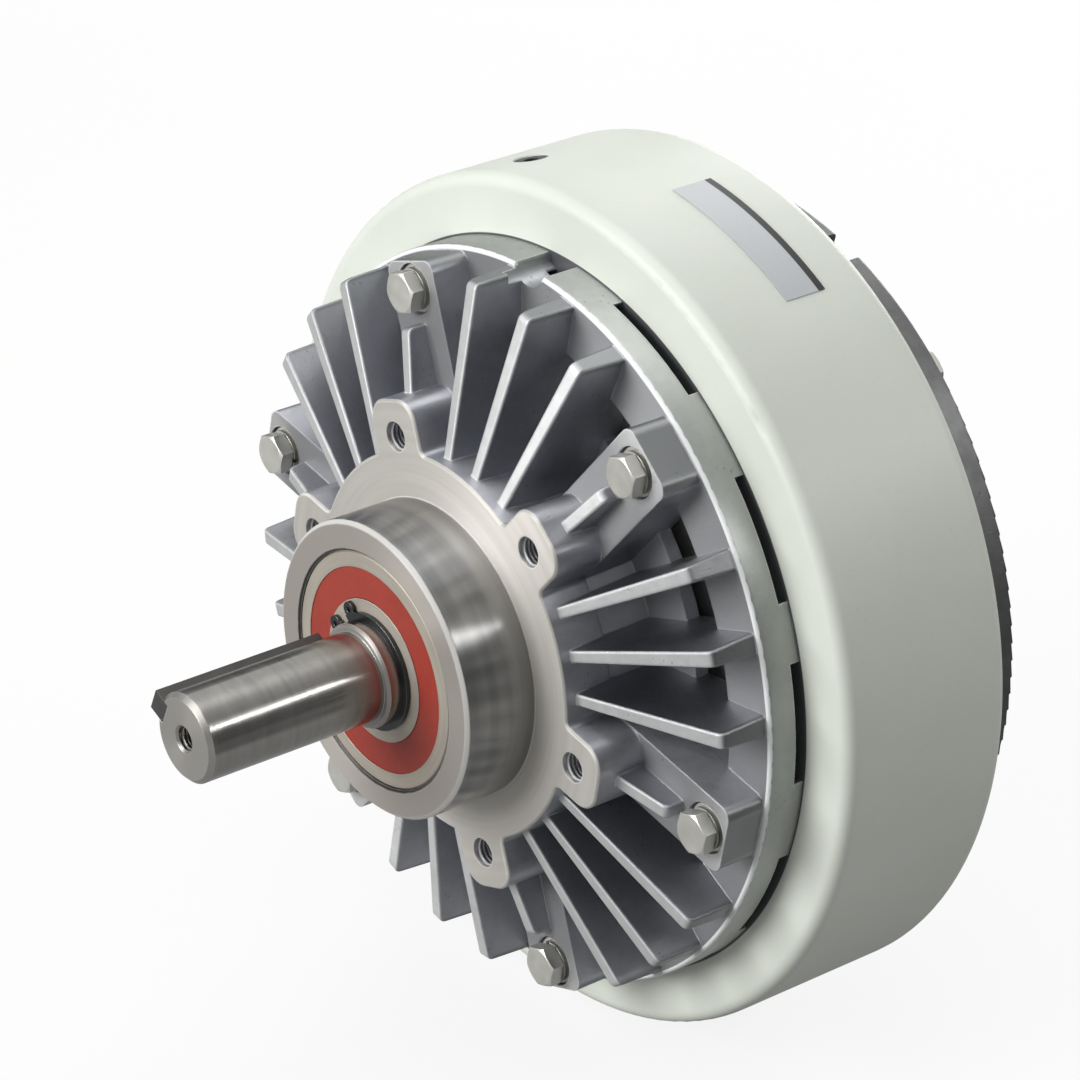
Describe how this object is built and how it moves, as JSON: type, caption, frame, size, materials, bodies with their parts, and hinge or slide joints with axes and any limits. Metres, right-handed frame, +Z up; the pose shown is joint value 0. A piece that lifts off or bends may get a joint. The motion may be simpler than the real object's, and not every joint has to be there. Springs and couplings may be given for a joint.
{
  "type": "magnetic powder brake",
  "caption": "Flange-mounted magnetic powder brake: painted ring stator between finned cast end caps, with a keyed output shaft on sealed ball bearings.",
  "frame": {"origin": "centre of the mounting face, the front plane of the six lugs", "axes": "-Y along the shaft towards the output end, +Z up, +X to the right seen from the output end"},
  "size_m": [0.29, 0.259, 0.29],
  "materials": {
    "cast_aluminium": "cast, machined on the flange and spigot",
    "dark_cast_aluminium": "cast, dark grey",
    "cream_paint": "semi-gloss cream paint",
    "dark_steel": "turned",
    "brass_ring": "turned",
    "bobbin_plastic": "moulded",
    "copper_winding": "enamelled wire",
    "black_rubber": "moulded",
    "plate_silver": "printed foil",
    "powder": "fine powder",
    "ground_steel": "ground",
    "key_steel": "drawn",
    "rotor_steel": "turned",
    "turned_steel": "turned",
    "black_steel": "black oxide",
    "spring_steel": "phosphated",
    "plate_aluminium": "turned",
    "zinc_plated": "zinc plated",
    "bearing_steel": "ground",
    "red_seal": "moulded",
    "ball_steel": "polished",
    "cage_steel": "pressed"
  },
  "bodies": {
    "housing": {"front_end_cap": "cast_aluminium", "rear_end_cap": "dark_cast_aluminium", "stator_housing": "cream_paint", "stator_rear_yoke": "dark_steel", "separator_ring": "brass_ring", "coil_bobbin": "bobbin_plastic", "field_coil": "copper_winding", "lead_grommet": "black_rubber", "nameplate": "plate_silver", "magnetic_powder": "powder", "rear_bearing_cover": "dark_cast_aluminium", "cover_screws": "black_steel", "preload_washer": "spring_steel", "front_chamber_plate": "plate_aluminium", "front_powder_seal": "black_rubber", "front_plate_screws": "black_steel", "front_bolts": "zinc_plated", "front_spring_washers": "zinc_plated", "front_plain_washers": "zinc_plated", "front_bearing_outer_ring": "bearing_steel", "front_bearing_seals": "red_seal", "rear_chamber_plate": "plate_aluminium", "rear_powder_seal": "black_rubber", "rear_plate_screws": "black_steel", "rear_bolts": "zinc_plated", "rear_spring_washers": "zinc_plated", "rear_plain_washers": "zinc_plated", "rear_bearing_outer_ring": "bearing_steel", "rear_bearing_seals": "red_seal"},
    "rotor": {"shaft": "ground_steel", "output_key": "key_steel", "rotor_key": "key_steel", "rotor_drum": "rotor_steel", "rotor_spacer": "turned_steel", "front_bearing_inner_ring": "bearing_steel", "rear_bearing_inner_ring": "bearing_steel", "front_circlip": "spring_steel", "rear_circlip": "spring_steel"},
    "front_cage": {"front_bearing_balls": "ball_steel", "front_bearing_cage": "cage_steel"},
    "rear_cage": {"rear_bearing_balls": "ball_steel", "rear_bearing_cage": "cage_steel"}
  },
  "joints": [
    {"name": "rotor_spin", "type": "hinge", "parent": "housing", "child": "rotor", "pos_m": [0, 0.07975, 0], "axis": [0, -1, 0], "continuous": true},
    {"name": "front_cage_spin", "type": "hinge", "parent": "housing", "child": "front_cage", "pos_m": [0, -0.0158, 0], "axis": [0, -1, 0], "continuous": true},
    {"name": "rear_cage_spin", "type": "hinge", "parent": "housing", "child": "rear_cage", "pos_m": [0, 0.1365, 0], "axis": [0, -1, 0], "continuous": true}
  ],
  "couplings": [
    {"joint": "front_cage_spin", "follows": "rotor_spin", "ratio": 0.3827},
    {"joint": "rear_cage_spin", "follows": "rotor_spin", "ratio": 0.3827}
  ]
}
